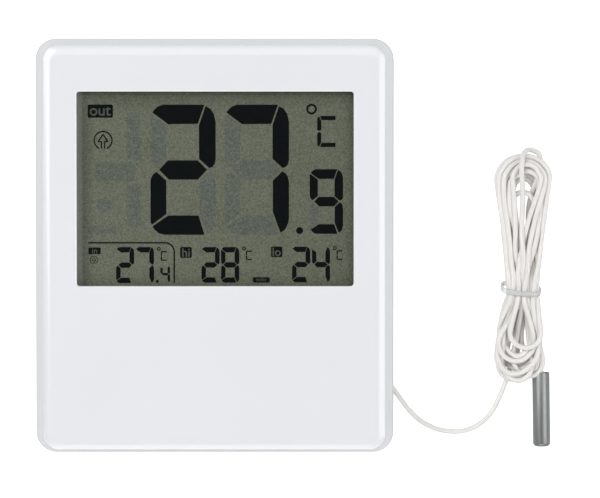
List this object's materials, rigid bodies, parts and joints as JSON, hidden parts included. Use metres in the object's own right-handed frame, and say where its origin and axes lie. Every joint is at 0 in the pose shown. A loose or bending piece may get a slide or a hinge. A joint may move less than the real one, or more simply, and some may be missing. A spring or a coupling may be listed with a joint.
{
  "type": "maximum minimum thermometer",
  "caption": "White digital maximum-minimum thermometer with a large LCD, fold-out stand and a stainless remote probe on a thin lead wound in a tied hank.",
  "frame": {"origin": "middle of the case's flat back, on the surface it lies on", "axes": "+Z out of the display, +Y towards the display's top edge, +X to its right"},
  "size_m": [0.1484, 0.1192, 0.02],
  "materials": {
    "front_shell": "glossy moulded",
    "rear_shell": "fine spark texture",
    "inner_white": "as moulded",
    "button_white": "satin",
    "window_clear": "polished clear acrylic",
    "lcd_film": "anti-glare film",
    "lcd_glass": "float glass",
    "lcd_ground": "silvered reflector film",
    "contact_rubber": "matte",
    "board_laminate": "solder mask",
    "resin_black": "cast resin",
    "nickel_steel": "nickel plated",
    "capacitor_sleeve": "shrink sleeve",
    "switch_black": "as moulded",
    "cell_sleeve": "printed steel sleeve",
    "screw_steel": "zinc plated",
    "lead_red": "pvc",
    "lead_black": "pvc",
    "lead_pvc": "soft pvc",
    "grommet_pvc": "soft pvc",
    "tie_pvc": "clear pvc over wire",
    "probe_steel": "drawn stainless tube",
    "probe_resin": "cast epoxy"
  },
  "bodies": {
    "case": {"front_case": "front_shell", "window_lens": "window_clear", "lcd_front_polariser": "lcd_film", "lcd_front_glass": "lcd_glass", "lcd_rear_glass": "lcd_glass", "lcd_reflector": "lcd_ground", "lcd_holder": "inner_white", "contact_strip_top": "contact_rubber", "contact_strip_bottom": "contact_rubber", "circuit_board": "board_laminate", "chip_blob": "resin_black", "watch_crystal": "nickel_steel", "capacitor": "capacitor_sleeve", "indoor_thermistor": "resin_black", "tact_switch_1": "switch_black", "tact_switch_2": "switch_black", "tact_switch_3": "switch_black", "tact_switch_4": "switch_black", "battery_aaa": "cell_sleeve", "battery_contact_positive": "nickel_steel", "battery_contact_negative": "nickel_steel", "battery_spring": "nickel_steel", "rear_case": "rear_shell", "case_screw_1": "screw_steel", "case_screw_2": "screw_steel", "case_screw_3": "screw_steel", "case_screw_4": "screw_steel", "module_screw_1": "screw_steel", "module_screw_2": "screw_steel", "module_screw_3": "screw_steel", "module_screw_4": "screw_steel", "battery_lead_red": "lead_red", "battery_lead_black": "lead_black", "sensor_lead_inside": "lead_pvc", "cord_gland": "grommet_pvc", "sensor_cord": "lead_pvc", "cord_hank": "lead_pvc", "probe_lead": "lead_pvc", "cord_tie": "tie_pvc", "probe_tube": "probe_steel", "probe_seal": "probe_resin"},
    "stand": {"stand_leg": "rear_shell"},
    "door": {"battery_door": "rear_shell"},
    "max_min_key": {"button_max_min": "button_white"},
    "reset_key": {"button_reset": "button_white"},
    "unit_key": {"button_unit": "button_white"},
    "channel_key": {"button_channel": "button_white"}
  },
  "joints": [
    {"name": "stand_hinge", "type": "hinge", "parent": "case", "child": "stand", "pos_m": [0, 0.0194, 0.0017], "axis": [1, 0, 0], "range_deg": [0, 60]},
    {"name": "battery_door_slide", "type": "slide", "parent": "case", "child": "door", "axis": [0, -1, 0], "range_m": [0, 0.014]},
    {"name": "max_min_press", "type": "slide", "parent": "case", "child": "max_min_key", "axis": [0, 0, 1], "range_m": [0, 0.0009], "stiffness_N_per_m": 1200},
    {"name": "reset_press", "type": "slide", "parent": "case", "child": "reset_key", "axis": [0, 0, 1], "range_m": [0, 0.0009], "stiffness_N_per_m": 1200},
    {"name": "unit_press", "type": "slide", "parent": "case", "child": "unit_key", "axis": [0, 0, 1], "range_m": [0, 0.0009], "stiffness_N_per_m": 1200},
    {"name": "channel_press", "type": "slide", "parent": "case", "child": "channel_key", "axis": [0, 0, 1], "range_m": [0, 0.0009], "stiffness_N_per_m": 1200}
  ]
}
